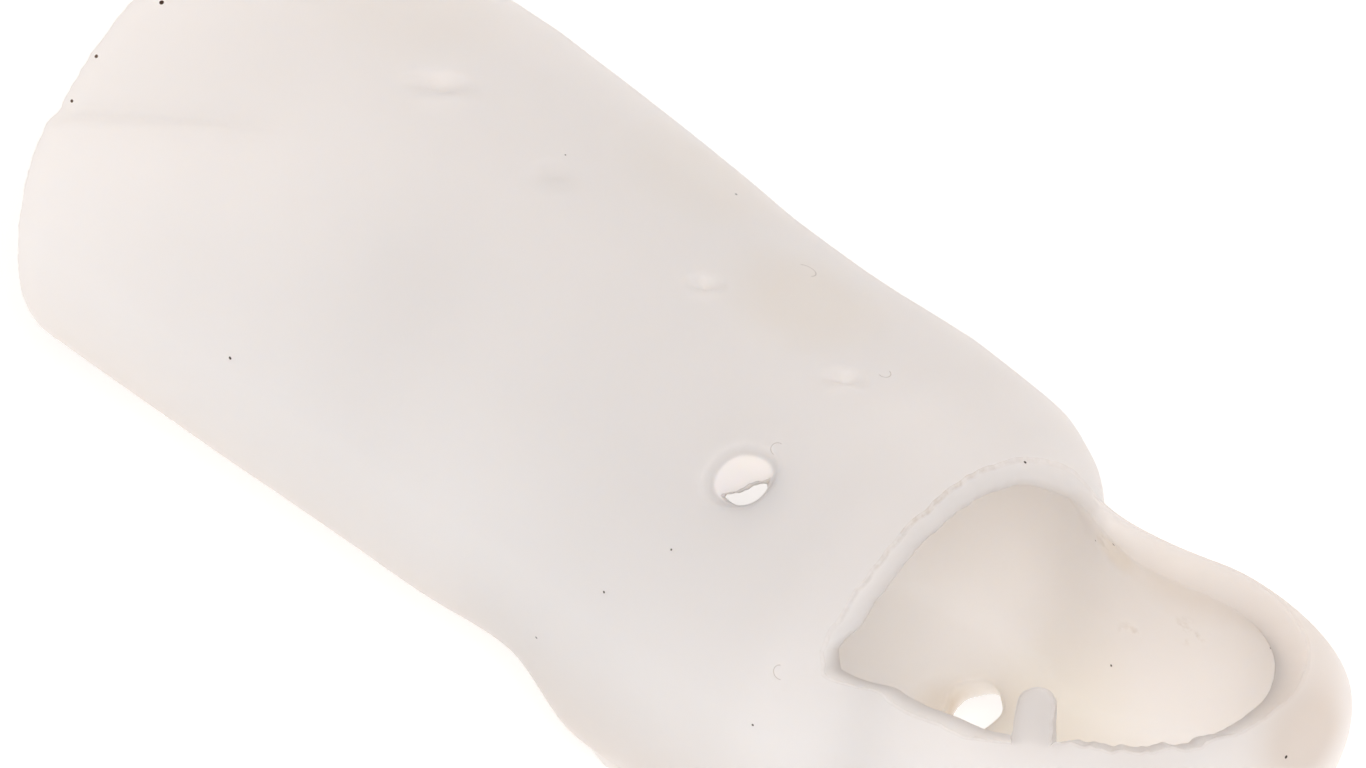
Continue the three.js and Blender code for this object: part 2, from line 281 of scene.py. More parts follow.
def rows_at_walk(walk):
    return np.interp(walk, ring_walk, np.arange(len(ring_walk)))


def turns_at_top(x, y):
    """Turn of the points of the upper skin that have these x and y."""
    rows = np.interp(x, outer_net[:, 0, 0], np.arange(len(outer_net)))
    turns = np.zeros(len(rows))
    upper = slice(NET_ROUND // 4, NET_ROUND * 3 // 4)
    for n, row in enumerate(rows):
        i = min(int(row), len(outer_net) - 2)
        t = row - i
        line = outer_net[i, upper, 1] * (1 - t) + outer_net[i + 1, upper, 1] * t
        turns[n] = np.interp(-y[n], -line, np.arange(upper.start, upper.stop)) / NET_ROUND
    return rows, turns


def place_at(x, angle):
    """Row and turn at x and at an angle from the top, + to the far side."""
    row = np.interp(x, outer_net[:, 0, 0], np.arange(len(outer_net)))
    i = min(int(row), len(outer_net) - 2)
    line = outer_net[i] * (1 - row + i) + outer_net[i + 1] * (row - i)
    y = (line[:, 1] - shift_at(x)) / half_at(x)
    z = (line[:, 2] - belly_at(x)) / (top_at(x) - belly_at(x))
    off = np.angle(np.exp(1j * (np.arctan2(y, z) - math.radians(angle))))
    return row, int(np.argmin(np.abs(off))) / NET_ROUND


# The window over the fingertip: cut with scissors, straight across the back and unevenly round the tray
EDGE = 0.2  # how far the strip over a cut edge reaches into the skin
EDGE_ROUND = 0.1  # rounding of its outer corner
CORNER_FILLET = (0.3, 2.6)  # of the window's near and far corner
WINDOW_MIDDLE = (49.0, 1.0)  # where the rays that find its edge start
TAB_X = TUBE_LENGTH + 0.541 * TRAY_LENGTH
TAB_WIDTH = 1.3
TAB_TOP = TRAY_WALL_TOP + 1.8
TAB_LEAN = (-0.65, -0.40, 0.05)  # how far the tongue's top is bent over
LOOP_STEP = 0.13


def wobble(x, y, z, size, seed):
    """Smooth noise of a given wavelength in millimetres, for arrays of places."""
    spots = np.broadcast_arrays(x, y, z)
    shape = spots[0].shape
    flat = [noise.noise(Vector(p)) for p in zip(*[(s / size + seed).ravel() for s in spots])]
    return np.array(flat).reshape(shape)


def past_cut(x, y):
    """Distance past the cut: straight on the near side, curving to the tip on the far one."""
    straight_to = -0.2 * RIM_WIDTH / 2
    bend = np.clip((y - straight_to) / (TRAY_WIDTH / 2 - straight_to), 0, None)
    return x - (TUBE_LENGTH + CUT_SLANT * bend**3)


def window_depth(x, y, z, rough_cut, rough_edge):
    """Above zero where the sheet is cut away."""
    past = past_cut(x, y) + EDGE + rough_cut
    over_edge = z - tray_edge_at(x) + EDGE + rough_edge
    fillet = CORNER_FILLET[0] + (CORNER_FILLET[1] - CORNER_FILLET[0]) * np.clip((y + 1) / 4, 0, 1)
    blend = np.clip(0.5 + 0.5 * (over_edge - past) / fillet, 0, 1)
    depth = over_edge * (1 - blend) + past * blend - fillet * blend * (1 - blend)
    half = TAB_WIDTH / 2 - EDGE
    on_tab = half - np.hypot(x - TAB_X, np.clip(z - (TAB_TOP - TAB_WIDTH / 2), 0, None))
    on_tab = np.where(y < shift_at(x), on_tab, -1.0)
    return np.minimum(depth, -on_tab)


def window_loop():
    angles = np.linspace(0, 2 * math.pi, 1440, endpoint=False)
    reach = np.arange(0.5, 12.0, 0.04)
    x = WINDOW_MIDDLE[0] + np.cos(angles)[:, None] * reach[None, :]
    y = WINDOW_MIDDLE[1] + np.sin(angles)[:, None] * reach[None, :]
    scale = tip_scale(x)
    across = (y - shift_at(x)) / np.maximum(scale * half_at(x), 1e-6)
    z = belly_at(x) + scale * (top_at(x) - belly_at(x)) * np.sqrt(np.clip(1 - across**2, 0, 1))
    fine_x = WINDOW_MIDDLE[0] + 7 * np.cos(angles)
    fine_y = WINDOW_MIDDLE[1] + 7 * np.sin(angles)
    cut_noise = 0.08 * wobble(fine_x, fine_y, 0.0, 1.1, 3.0)
    cut_noise += 0.07 * wobble(fine_x, fine_y, 0.0, 0.35, 8.0)
    edge_noise = 0.22 * wobble(fine_x, fine_y, 0.0, 1.6, 5.0)
    edge_noise += 0.10 * wobble(fine_x, fine_y, 0.0, 0.5, 1.0)
    edge_noise *= np.clip(0.65 - 0.35 * (fine_y - 1.0) / 2.0, 0.2, 1.0)
    inside = window_depth(x, y, z, cut_noise[:, None], edge_noise[:, None])
    inside = np.where(np.abs(across) < 1, inside, -1.0)
    first = np.argmax(inside < 0, axis=1)
    n = np.arange(len(angles))
    a = inside[n, first - 1]
    b = inside[n, first]
    r = reach[first - 1] + (reach[1] - reach[0]) * a / (a - b)
    edge_x = WINDOW_MIDDLE[0] + np.cos(angles) * r
    edge_y = WINDOW_MIDDLE[1] + np.sin(angles) * r
    return turns_at_top(edge_x, edge_y)


def even_loop(rows, turns, step):
    """The same closed loop with its points an even step apart."""
    places = read_net(outer_net, rows, turns)
    walk = np.r_[0, np.cumsum(np.linalg.norm(np.roll(places, -1, 0) - places, axis=1))]
    count = int(walk[-1] / step)
    wanted = np.arange(count) * walk[-1] / count
    turns = np.unwrap(np.r_[turns, turns[0]], period=1.0)
    return np.interp(wanted, walk, np.r_[rows, rows[0]]), np.interp(wanted, walk, turns)


def local_loop(row, turn, along, around):
    """Rows and turns of points given in millimetres along and around from a place."""
    walk = np.interp(row, np.arange(len(ring_walk)), ring_walk) + along
    length = np.interp(row, np.arange(len(ring_length)), ring_length)
    return rows_at_walk(walk), turn + around / length


# Punched holes. Most of the sheet's holes closed as it was stretched and smoothed.
HOLE = 2.9
OPEN_HOLES = (  # station, angle from the top, share of HOLE
    (0.607, 146.0, 1.2),
    (1.006, 166.0, 1.0),
)
FILM_HOLE = {"station": 0.834, "angle": -26.0, "radius": 1.2, "depth": 0.4, "inner_depth": 0.75}
FILM_OPENING = {"along": 0.81, "around": 0.59, "from": 0.28}  # side of the film that came away
FILM_EDGE = 0.05
FILM_WHITENING = 0.85  # the film is thin and cloudy, so light scatters back from it at once


def open_hole_loop(station, angle, share, seed):
    row, turn = place_at(float(along_at(station)), angle)
    radius = HOLE / 2 * share + EDGE
    count = int(2 * math.pi * radius / 0.12)
    around = np.linspace(0, 2 * math.pi, count, endpoint=False)
    uneven = radius * (1 + 0.05 * np.cos(2 * around + seed) + 0.03 * np.cos(5 * around + 2 * seed))
    return local_loop(row, turn, uneven * np.cos(around), uneven * np.sin(around))


def film_opening_loop():
    """The part of the film hole that is open: a half moon with a torn straight side."""
    row, turn = place_at(float(along_at(FILM_HOLE["station"])), FILM_HOLE["angle"])
    radius = FILM_HOLE["radius"] - 0.08
    start = FILM_OPENING["from"]
    reach = math.acos(start / radius)
    bow = np.linspace(-reach, reach, 26)
    torn = np.linspace(1, -1, 18)[1:-1] * radius * math.sin(reach)
    rough = 0.05 * np.sin(torn * 5.0) + 0.02 * np.sin(torn * 17.0 + 1.0)
    towards = np.r_[radius * np.cos(bow), start + rough]
    sideways = np.r_[radius * np.sin(bow), torn]
    cos, sin = FILM_OPENING["along"], FILM_OPENING["around"]
    return local_loop(row, turn, towards * cos - sideways * sin, towards * sin + sideways * cos)


# What moulding by hand left on the skin: hollows, a pressed seam, a flared edge, soft flats
CLOSED_HOLES = (  # station, angle, half length, half width, depth, lip, how much light comes through
    (0.309, 5.8, 1.45, 0.7, 0.60, 0.16, 0.30),
    (0.469, 3.9, 1.05, 0.8, 0.26, 0.05, 0.04),
    (0.664, 5.6, 0.75, 0.45, 0.55, 0.16, 0.42),
    (0.84, 6.8, 0.85, 0.45, 0.55, 0.16, 0.42),
)
CLOSED_HOLE_LIE = math.radians(42.0)  # the closed holes were pulled into slots at this angle
SEAM = ((-1.0, -8.9, 17.4), (0.3, -8.4, 17.9), (4.0, -6.9, 19.2), (9.8, -4.2, 20.6), (13.0, -2.8, 21.0))
SEAM_STEP = 0.34
SEAM_GROOVE = 0.08
RIDGE = (  # millimetres from the rim, degrees from the top
    (4.0, -24.0), (10.7, -16.0), (16.0, -7.0), (21.3, -6.0), (26.7, 1.0), (34.0, -1.0), (39.0, -2.0))
RIDGE_HEIGHT = 0.30
FAR_BULGE = 0.38
NEAR_DRAW_IN = 0.38
PRESSED_HOLLOW = (15.7, -5.7, 19.5)
FLARE = 0.3  # the cut edge stands out a little
FLARE_WIDTH = 1.8
FLARE_FROM = 15.5  # height above which it does, in full FLARE_RISE higher
FLARE_RISE = 2.5
MILKY_PLACES = (  # place, radius, how much less light goes in
    ((38.0, 1.7, 20.1), 3.4, 0.36),
    ((12.0, -6.5, 18.0), 8.0, 0.22),
    ((25.0, -7.0, 16.0), 8.0, 0.26),
    ((34.0, -8.0, 13.0), 4.0, 0.20),
)
TAB_THINNING = 0.95  # the tongue was pinched thin from the inside
CUT_WHITENING = 0.14  # how far a cut face is on the way to cloudy
EDGE_THINNING = 0.4  # the sheet thins towards the window's edge on the inside


def bump(distance, width):
    return np.exp(-((distance / width) ** 2))


def line_distance(places, line):
    """Distance to a bent line, with the share of its length at the nearest point."""
    line = np.array(line, float)
    lengths = np.linalg.norm(np.diff(line, axis=0), axis=1)
    walked = np.r_[0, np.cumsum(lengths)]
    best = np.full(len(places), np.inf)
    share = np.zeros(len(places))
    offset = np.zeros((len(places), 3))
    for n in range(len(lengths)):
        step = line[n + 1] - line[n]
        t = np.clip((places - line[n]) @ step / lengths[n] ** 2, 0, 1)
        gap = places - (line[n] + t[:, None] * step)
        distance = np.linalg.norm(gap, axis=1)
        closer = distance < best
        best = np.where(closer, distance, best)
        share = np.where(closer, (walked[n] + t * lengths[n]) / walked[-1], share)
        offset[closer] = gap[closer]
    return best, share, offset


def local_offsets(places, centre, normal):
    """Millimetres along and across the skin from a centre, for places near it."""
    along = np.array([1.0, 0.0, 0.0])
    along = along - normal * (along @ normal)
    along /= np.linalg.norm(along)
    across = np.cross(normal, along)
    gap = places - centre
    return gap @ along, gap @ across


def film_squeeze(places, centre, normal):
    """Above 1 across the film hole's eye shape, below 1 towards its two corners."""
    along, across = local_offsets(places, centre, normal)
    off = along * FILM_OPENING["along"] - across * FILM_OPENING["around"]
    side = across * FILM_OPENING["along"] + along * FILM_OPENING["around"]
    corner = side**2 / np.maximum(off**2 + side**2, 1e-6)
    return 1.0 - 0.18 * corner**2


def skin_height(places, normals):
    """How far the outer skin stands out from its plain form."""
    x, y, z = places.T
    up = (z - belly_at(x)) / (top_at(x) - belly_at(x))
    angle = np.degrees(np.arctan2((y - shift_at(x)) / half_at(x), up))
    height = 0.09 * wobble(x, y, z, 9.0, 2.0) + 0.02 * wobble(x, y, z, 3.2, 7.0)
    # soft ridge between the flat over the near side and the back
    ridge = np.interp(x, [r[0] for r in RIDGE], [r[1] for r in RIDGE])
    off = np.radians(angle - ridge) * 10.0
    fade = np.clip((x - 3) / 6, 0, 1) * np.clip((39 - x) / 5, 0, 1)
    height += RIDGE_HEIGHT * fade * np.clip(1 - (np.sqrt(off**2 + 0.5) - 0.7) / 5.5, 0, 1)
    # the far side bulges a little along the middle, and the near side is drawn in before the heel
    fade = np.clip((x - 4) / 7, 0, 1) * np.clip((40 - x) / 6, 0, 1)
    height += FAR_BULGE * bump(angle - 60, 34) * fade
    height -= NEAR_DRAW_IN * bump(angle + 118, 30) * bump(x - 25.6, 3.2)
    # pressed hollow on the near side
    height -= 0.13 * bump(np.linalg.norm((places - PRESSED_HOLLOW) / (1.6, 1.0, 1.0), axis=1), 2.2)
    # the cut edge was flared a little, with a faint crease behind it
    from_cut = past_cut(x, y)
    height += FLARE * np.clip((z - FLARE_FROM) / FLARE_RISE, 0, 1) * bump(from_cut, FLARE_WIDTH)
    height -= 0.05 * np.clip((z - FLARE_FROM) / FLARE_RISE, 0, 1) * bump(from_cut + 3.2, 0.8)
    # seam where the sheet laps over itself
    distance, share, offset = line_distance(places, SEAM)
    side = np.sign(np.where(np.abs(offset[:, 1]) > 1e-9, -offset[:, 1], 1.0))
    signed = side * distance
    seam_fade = np.clip((0.78 - share) / 0.45, 0, 1) * (np.abs(signed) < 6)
    step = 0.5 + 0.5 * np.tanh(signed / 0.14)
    lap = SEAM_STEP * step * bump(np.clip(signed, 0, None), 3.5)
    height += seam_fade * (lap - SEAM_GROOVE * bump(signed + 0.4, 0.4))
    for station, turned, half_length, half_width, depth, lip, _ in CLOSED_HOLES:
        centre, normal = skin_place(float(along_at(station)), turned)
        along, across = local_offsets(places, centre, normal)
        near = np.linalg.norm(places - centre, axis=1) < 4
        cos, sin = math.cos(CLOSED_HOLE_LIE), math.sin(CLOSED_HOLE_LIE)
        u = (along * cos + across * sin) / half_length
        v = (across * cos - along * sin) / half_width
        r = np.hypot(u, v + 0.18 * u**2)
        hollow = np.clip(1.25 - r, 0, 1.25) / 1.25
        hollow = hollow**1.3 * (1 + 0.5 * np.tanh(3 * v))
        rim = bump(np.hypot(u * 0.8, v + 1.25), 0.55)
        height += near * (lip * rim - depth * np.clip(hollow, 0, 1))
    centre, normal = skin_place(float(along_at(FILM_HOLE["station"])), FILM_HOLE["angle"])
    away = np.linalg.norm(places - centre, axis=1)
    away = away * film_squeeze(places, centre, normal)
    wall = np.clip((FILM_HOLE["radius"] - away) / 0.3 + 0.5, 0, 1)
    height -= FILM_HOLE["depth"] * wall**2 * (3 - 2 * wall)
    height += 0.05 * bump(away - FILM_HOLE["radius"] - 0.35, 0.35)
    return height


def skin_place(x, angle):
    row, turn = place_at(x, angle)
    rows = np.array([row])
    turns = np.array([turn])
    return read_net(outer_net, rows, turns)[0], read_net(outer_normals, rows, turns)[0]


def inner_height(places):
    """How far the inner skin moves outwards: it follows the flare, and the tongue and film are thin."""
    x, y, z = places.T
    height = 0.05 * wobble(x, y, z, 5.0, 4.0) + 0.02 * wobble(x, y, z, 2.0, 9.0)
    height += FLARE * np.clip((z - FLARE_FROM) / FLARE_RISE, 0, 1) * bump(past_cut(x, y), FLARE_WIDTH)
    height += TAB_THINNING * tab_share(x, y, z)
    centre, normal = skin_place(float(along_at(FILM_HOLE["station"])), FILM_HOLE["angle"])
    away = np.linalg.norm(places - centre, axis=1)
    return height + FILM_HOLE["inner_depth"] * np.clip((FILM_HOLE["radius"] + 0.3 - away) / 0.5 + 0.5, 0, 1)


def tab_share(x, y, z):
    """1 on the tongue, 0 away from it."""
    up = np.clip((z - (TRAY_WALL_TOP - 0.9)) / 0.9, 0, 1)
    return up * bump(x - TAB_X, 1.1) * (y < shift_at(x))


# The mesh: points spread evenly over the skin, joined on the flat map, with a rounded strip at each edge
GRAIN = 0.36  # spacing of the points


def even_points():
    rows = []
    turns = []
    walk = GRAIN
    odd = False
    while walk < ring_walk[-1] - GRAIN * 0.5:
        row = float(rows_at_walk(walk))
        length = np.interp(row, np.arange(len(ring_length)), ring_length)
        count = max(int(length / GRAIN), 5)
        around = (np.arange(count) + (0.5 if odd else 0.0)) / count
        rows.append(np.full(count, row))
        turns.append(around)
        walk += GRAIN * 0.87
        odd = not odd
    return np.concatenate(rows), np.concatenate(turns)


def fine_patch(row, turn, reach, grain):
    """A closer lattice of points round a detail."""
    steps = np.arange(-int(reach / grain) - 1, int(reach / grain) + 2)
    a, b = np.meshgrid(steps, steps)
    along = (a + 0.5 * (b % 2)) * grain
    around = b * grain * 0.87
    near = np.hypot(along, around) < reach
    return local_loop(row, turn, along[near], around[near])


def nearest_gap(places, others):
    """Distance from each place to the nearest of the others."""
    gaps = np.zeros(len(places))
    for start in range(0, len(places), 2000):
        part = places[start:start + 2000]
        gaps[start:start + 2000] = np.linalg.norm(part[:, None] - others[None], axis=2).min(1)
    return gaps


def inside_loop(points, loop):
    """Whether points of the flat map lie inside a closed loop of it."""
    inside = np.zeros(len(points), bool)
    for a, b in zip(loop, np.roll(loop, -1, 0)):
        crosses = (a[1] > points[:, 1]) != (b[1] > points[:, 1])
        rise = b[1] - a[1] if b[1] != a[1] else 1e-12
        inside ^= crosses & (points[:, 0] < a[0] + (points[:, 1] - a[1]) * (b[0] - a[0]) / rise)
    return inside


def on_map(rows, turns):
    radius = np.interp(rows, np.arange(len(map_radius)), map_radius)
    return np.stack([radius * np.cos(2 * math.pi * turns), radius * np.sin(2 * math.pi * turns)], 1)


def skin_points():
    """All points of the skin as rows and turns, the loops first, and where each loop starts."""
    rim_count = int(ring_length[0] / 0.25)
    start_row = float(rows_at_walk(EDGE))
    loops = [(np.full(rim_count, start_row), np.arange(rim_count) / rim_count)]
    loops.append(even_loop(*window_loop(), LOOP_STEP))
    for n, (station, angle, share) in enumerate(OPEN_HOLES):
        loops.append(open_hole_loop(station, angle, share, 1.0 + n))
    loops.append(film_opening_loop())
    rows, turns = even_points()
    places = read_net(outer_net, rows, turns)
    keep = rows > start_row + 0.5
    patches = []
    details = [(h[0], h[1], 2.3, 0.17) for h in CLOSED_HOLES]
    details += [(FILM_HOLE["station"], FILM_HOLE["angle"], 2.0, 0.11)]
    details += [(h[0], h[1], 2.2, 0.2) for h in OPEN_HOLES]
    for x in np.arange(1.4, 9.0, 0.9):
        y = np.interp(x, [spot[0] for spot in SEAM], [spot[1] for spot in SEAM])
        z = np.interp(x, [spot[0] for spot in SEAM], [spot[2] for spot in SEAM])
        rise = top_at(x) - belly_at(x)
        angle = math.degrees(math.atan2(y / half_at(x), (z - belly_at(x)) / rise))
        details.append((x / TUBE_LENGTH, angle, 0.8, 0.17))
    done = []
    for station, angle, reach, grain in details:
        row, turn = place_at(float(along_at(station)), angle)
        centre = read_net(outer_net, np.array([row]), np.array([turn]))
        keep &= np.linalg.norm(places - centre, axis=1) > reach + grain
        patch_rows, patch_turns = fine_patch(row, turn, reach, grain)
        patch_places = read_net(outer_net, patch_rows, patch_turns)
        clear = np.ones(len(patch_rows), bool)
        for other, other_reach in done:
            clear &= np.linalg.norm(patch_places - other, axis=1) > other_reach + grain * 0.6
        done.append((centre, reach))
        patches.append((grain, (patch_rows[clear], patch_turns[clear])))
    for loop in loops:
        keep &= nearest_gap(places, read_net(outer_net, *loop)) > 0.2
    all_rows = [loop[0] for loop in loops] + [rows[keep]]
    all_turns = [loop[1] for loop in loops] + [turns[keep]]
    for grain, (patch_rows, patch_turns) in patches:
        patch_places = read_net(outer_net, patch_rows, patch_turns)
        clear = patch_rows > start_row + 0.5
        for loop in loops:
            clear &= nearest_gap(patch_places, read_net(outer_net, *loop)) > grain * 0.6
        all_rows.append(patch_rows[clear])
        all_turns.append(patch_turns[clear])
    starts = np.cumsum([0] + [len(loop[0]) for loop in loops])
    return np.concatenate(all_rows), np.concatenate(all_turns), starts


def join_skin(points, starts):
    """Triangles of the skin, without the window and the holes."""
    edges = []
    for start, end in zip(starts[:-1], starts[1:]):
        edges += [(n, n + 1 if n + 1 < end else start) for n in range(start, end)]
    result = delaunay_2d_cdt([Vector(p) for p in points], edges, [], 0, 1e-9)
    vertices = np.array([tuple(v) for v in result[0]])
    faces = np.array(result[2])
    origin = np.array([group[0] for group in result[3]])
    middles = vertices[faces].mean(1)
    drop = np.zeros(len(faces), bool)
    for start, end in zip(starts[1:-1], starts[2:]):
        drop |= inside_loop(middles, points[start:end])
    return origin[faces[~drop]]


def edge_strip(loop, outer, inner, away, reach, round_in, inner_reach, whitened, line_shade, sink):
    """A strip over the cut edge of the sheet, from the outer skin to the inner one. reach and
    inner_reach are how far its outer and inner corner stand into the opening, and line_shade is how
    dark the line of painted shade along its outer corner is."""
    thick = np.linalg.norm(outer - inner, axis=1)
    round_out = np.minimum(np.minimum(EDGE_ROUND, thick * 0.3), reach * 0.5)
    round_in = np.minimum(round_in, thick * 0.6)
    rows = [(0 * thick, reach * 0.4, 0.4), (0 * thick, reach - round_out, 1.0)]
    for turn in np.radians([30, 60, 90]):
        rows.append((round_out * (1 - np.cos(turn)), reach - round_out * (1 - np.sin(turn)), 1.0))
    flat_end = thick - round_in
    for part in (0.12, 0.25, 0.4, 0.6, 0.8, 1.0):
        turn = math.radians(90) * part
        lean = reach + math.sin(turn) * (inner_reach - reach)
        down = round_out + (0.12 * part + 0.88 * (1 - math.cos(turn))) * (flat_end - round_out)
        rows.append((down, lean, 0.6 * (1 - part) ** 3))
    for turn in np.radians([15, 30, 45, 60, 75]):
        rows.append((flat_end + round_in * np.sin(turn), inner_reach * np.cos(turn), 0.0))
    previous = np.array(loop)
    count = len(loop)
    spots = outer.T
    rough = 0.07 * wobble(*spots, 0.6, 6.0) + 0.06 * wobble(*spots, 0.27, 11.0)
    for down, push, burr_and_shade_line in rows:
        share = (down / thick)[:, None]
        ragged = (rough * burr_and_shade_line * np.clip(push / np.maximum(reach, 1e-6), 0, 1) * (reach > 0.1))[:, None]
        row = outer * (1 - share) + inner * share + away * (push[:, None] + ragged)
        current = np.arange(count) + len(sink["points"])
        sink["points"].extend(row)
        # the outer corner rows get the line of painted shade
        sink["burr_and_shade_line"].extend(list(line_shade * (burr_and_shade_line == 1.0)))
        sink["inside"].extend(list(share[:, 0]))
        sink["whitened"].extend([0.0 if burr_and_shade_line == 1.0 else whitened] * count)
        join_rows(previous, current, sink["faces"])
        previous = current
    join_rows(previous, np.array(loop) + sink["inner_start"], sink["faces"])


def join_rows(one, other, faces):
    count = len(one)
    for n in range(count):
        m = (n + 1) % count
        faces.append((one[n], other[n], other[m], one[m]))


def make_shell():
    rows, turns, starts = skin_points()
    points = on_map(rows, turns)
    tip = np.array([[0.0, 0.0]])
    triangles = join_skin(np.concatenate([points, tip]), starts)
    plain = read_net(outer_net, rows, turns)
    normals = read_net(outer_normals, rows, turns)
    normals /= np.linalg.norm(normals, axis=1, keepdims=True)
    plain_inner = read_net(inner_net, rows, turns)
    end = np.array([[LENGTH, float(shift_at(LENGTH)), float(belly_at(LENGTH))]])
    plain = np.concatenate([plain, end])
    plain_inner = np.concatenate([plain_inner, end - (SHEET, 0, 0)])
    normals = np.concatenate([normals, [[1.0, 0, 0]]])
    outer = plain + normals * skin_height(plain, normals)[:, None]
    window = plain[starts[1]:starts[2]]
    from_edge = nearest_gap(plain, window)
    near_cut = np.clip(1.3 - past_cut(plain[:, 0], plain[:, 1]) / 3, 0.4, 1)
    thinning = EDGE_THINNING * near_cut * bump(from_edge, 1.4) * (1 - tab_share(*plain.T))
    inner = plain_inner + normals * (inner_height(plain) + thinning)[:, None]
    lean = tab_share(*plain.T) * np.clip((plain[:, 2] - TRAY_WALL_TOP + 0.3) / 1.6, 0, 1)
    outer += lean[:, None] * TAB_LEAN
    inner += lean[:, None] * TAB_LEAN
    outer[:, 2] = np.maximum(outer[:, 2], 0.0)  # the sole was pressed flat
    # turn the triangles so that they face out
    a, b, c = (outer[triangles[:, k]] for k in range(3))
    facing = np.sum(np.cross(b - a, c - a) * normals[triangles[:, 0]], axis=1)
    if np.median(facing) < 0:
        triangles = triangles[:, ::-1]
    count = len(outer)
    thin = thin_share(plain)
    edge_glow = list(np.maximum(thin, CUT_WHITENING * bump(from_edge, 3.0)))
    thin = list(thin)
    sink = {"points": list(outer) + list(inner), "burr_and_shade_line": [0.0] * (2 * count), "whitened": thin + edge_glow,
            "inside": [0.0] * count + [1.0] * count, "faces": [], "inner_start": count}
    faces = [tuple(t) for t in triangles] + [tuple(t[::-1] + count) for t in triangles]
    rim_number = 0
    window_number = 1
    film_number = len(starts) - 2
    for n, (start, stop) in enumerate(zip(starts[:-1], starts[1:])):
        loop = np.arange(start, stop)
        places = outer[loop]
        along = np.roll(places, -1, 0) - np.roll(places, 1, 0)
        along = np.stack([np.convolve(np.r_[a[-3:], a, a[:3]], np.ones(7) / 7, "valid") for a in along.T], 1)
        along /= np.linalg.norm(along, axis=1, keepdims=True)
        away = np.cross(along, normals[loop])
        away /= np.linalg.norm(away, axis=1, keepdims=True)
        if n == rim_number:
            away = np.tile([-1.0, 0, 0], (len(loop), 1))
        elif np.mean(np.sum(away * (places.mean(0) - places), axis=1)) < 0:
            away = -away
        x, y, z = plain[loop].T
        reach = np.full(len(loop), EDGE)
        round_in = np.full(len(loop), 0.35)
        inner_reach = np.full(len(loop), EDGE)
        whitened = CUT_WHITENING
        # how dark the line of painted shade along the outer corner is, strongest on the near side of the
        # straight cut
        line_shade = np.full(len(loop), 0.3)
        if n == window_number:
            on_cut = np.clip(1.2 - past_cut(x, y) / 1.6, 0, 1) * np.clip((z - TRAY_WALL_TOP) / 1.6, 0, 1)
            on_tab = tab_share(x, y, z + 0.5)
            inner_reach = (0.05 + 0.7 * on_cut) * (1 - on_tab) + 0.1 * on_tab
            round_in = 0.75 * (1 - on_tab) + 0.1 * on_tab
            line_shade = 0.25 + 0.75 * bump(y + 1.0, 4.0) * (past_cut(x, y) < 1.0)
        if n == film_number:
            reach = np.full(len(loop), FILM_EDGE)
            inner_reach = reach
            whitened = FILM_WHITENING
        first_face = len(sink["faces"])
        edge_strip(loop, places, inner[loop], away, reach, round_in, inner_reach, whitened, line_shade, sink)
        a, b, c, d = (np.array(sink["points"][k]) for k in sink["faces"][first_face + len(loop)])
        if np.cross(c - a, d - b) @ (normals[loop[0]] + away[0]) < 0:
            sink["faces"][first_face:] = [f[::-1] for f in sink["faces"][first_face:]]
    faces += sink["faces"]
    used = np.unique(np.concatenate([np.ravel(f) for f in faces]))
    place_of = np.full(len(sink["points"]), -1)
    place_of[used] = np.arange(len(used))
    marks = {name: np.array(sink[name])[used] for name in ("burr_and_shade_line", "inside", "whitened")}
    return np.array(sink["points"])[used], [tuple(place_of[list(f)]) for f in faces], marks


def thin_share(places):
    """1 where a hole's film is so thin that light comes through."""
    share = np.zeros(len(places))
    for station, angle, half_length, half_width, _, _, glow in CLOSED_HOLES:
        centre, normal = skin_place(float(along_at(station)), angle)
        along, across = local_offsets(places, centre, normal)
        cos, sin = math.cos(CLOSED_HOLE_LIE), math.sin(CLOSED_HOLE_LIE)
        u = (along * cos + across * sin) / half_length
        v = (across * cos - along * sin) / half_width
        near = np.linalg.norm(places - centre, axis=1) < 4
        share = np.maximum(share, near * glow * np.clip(1.6 - 1.6 * np.hypot(u, v - 0.2), 0, 1))
    for spot, radius, glow in MILKY_PLACES:
        share = np.maximum(share, glow * bump(np.linalg.norm(places - spot, axis=1), radius))
    centre, normal = skin_place(float(along_at(FILM_HOLE["station"])), FILM_HOLE["angle"])
    away = np.linalg.norm(places - centre, axis=1)
    away = away * film_squeeze(places, centre, normal)
    return np.maximum(share, FILM_WHITENING * np.clip((FILM_HOLE["radius"] - away) / 0.25, 0, 1))


shell_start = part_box("splint_shell")[0][0] / MM
points, faces, marks = make_shell()
points = (points + (shell_start, 0.0, 0.0)) * MM
shell_mesh = bpy.data.meshes.new("moulded_shell")
shell_mesh.from_pydata([tuple(p) for p in points], [], [tuple(int(i) for i in f) for f in faces])
shell_mesh.update()
shell_mesh.polygons.foreach_set("use_smooth", [True] * len(shell_mesh.polygons))
for name in ("burr_and_shade_line", "inside", "whitened"):
    layer = shell_mesh.attributes.new(name, "FLOAT", "POINT")
    layer.data.foreach_set("value", marks[name])
shell = bpy.data.objects.new("moulded_shell", shell_mesh)
bpy.context.scene.collection.objects.link(shell)


# Thermoplastic sheet, moulded warm: satin and milky, so light goes deep into it, softens its shadows
# and makes the inside nearly as bright as the outside. Thin stretched places are cloudier, and a thin,
# broken line of painted shade runs along the outer corner of each cut edge.
def linear(hex_colour):
    """sRGB hex to linear colour."""
    parts = [int(hex_colour[i:i + 2], 16) / 255 for i in (1, 3, 5)]
    return tuple(c / 12.92 if c <= 0.04045 else ((c + 0.055) / 1.055) ** 2.4 for c in parts) + (1.0,)


def add_node(tree, kind, settings=None, links=None, output=0):
    """Adds a node, sets its settings and socket values, links its inputs and gives back an output."""
    node = tree.nodes.new(kind)
    for key, value in (settings or {}).items():
        if isinstance(key, int) or key in node.inputs.keys():
            node.inputs[key].default_value = value
        else:
            setattr(node, key, value)
    for key, socket in (links or {}).items():
        tree.links.new(socket, node.inputs[key])
    return node.outputs[output] if len(node.outputs) else node
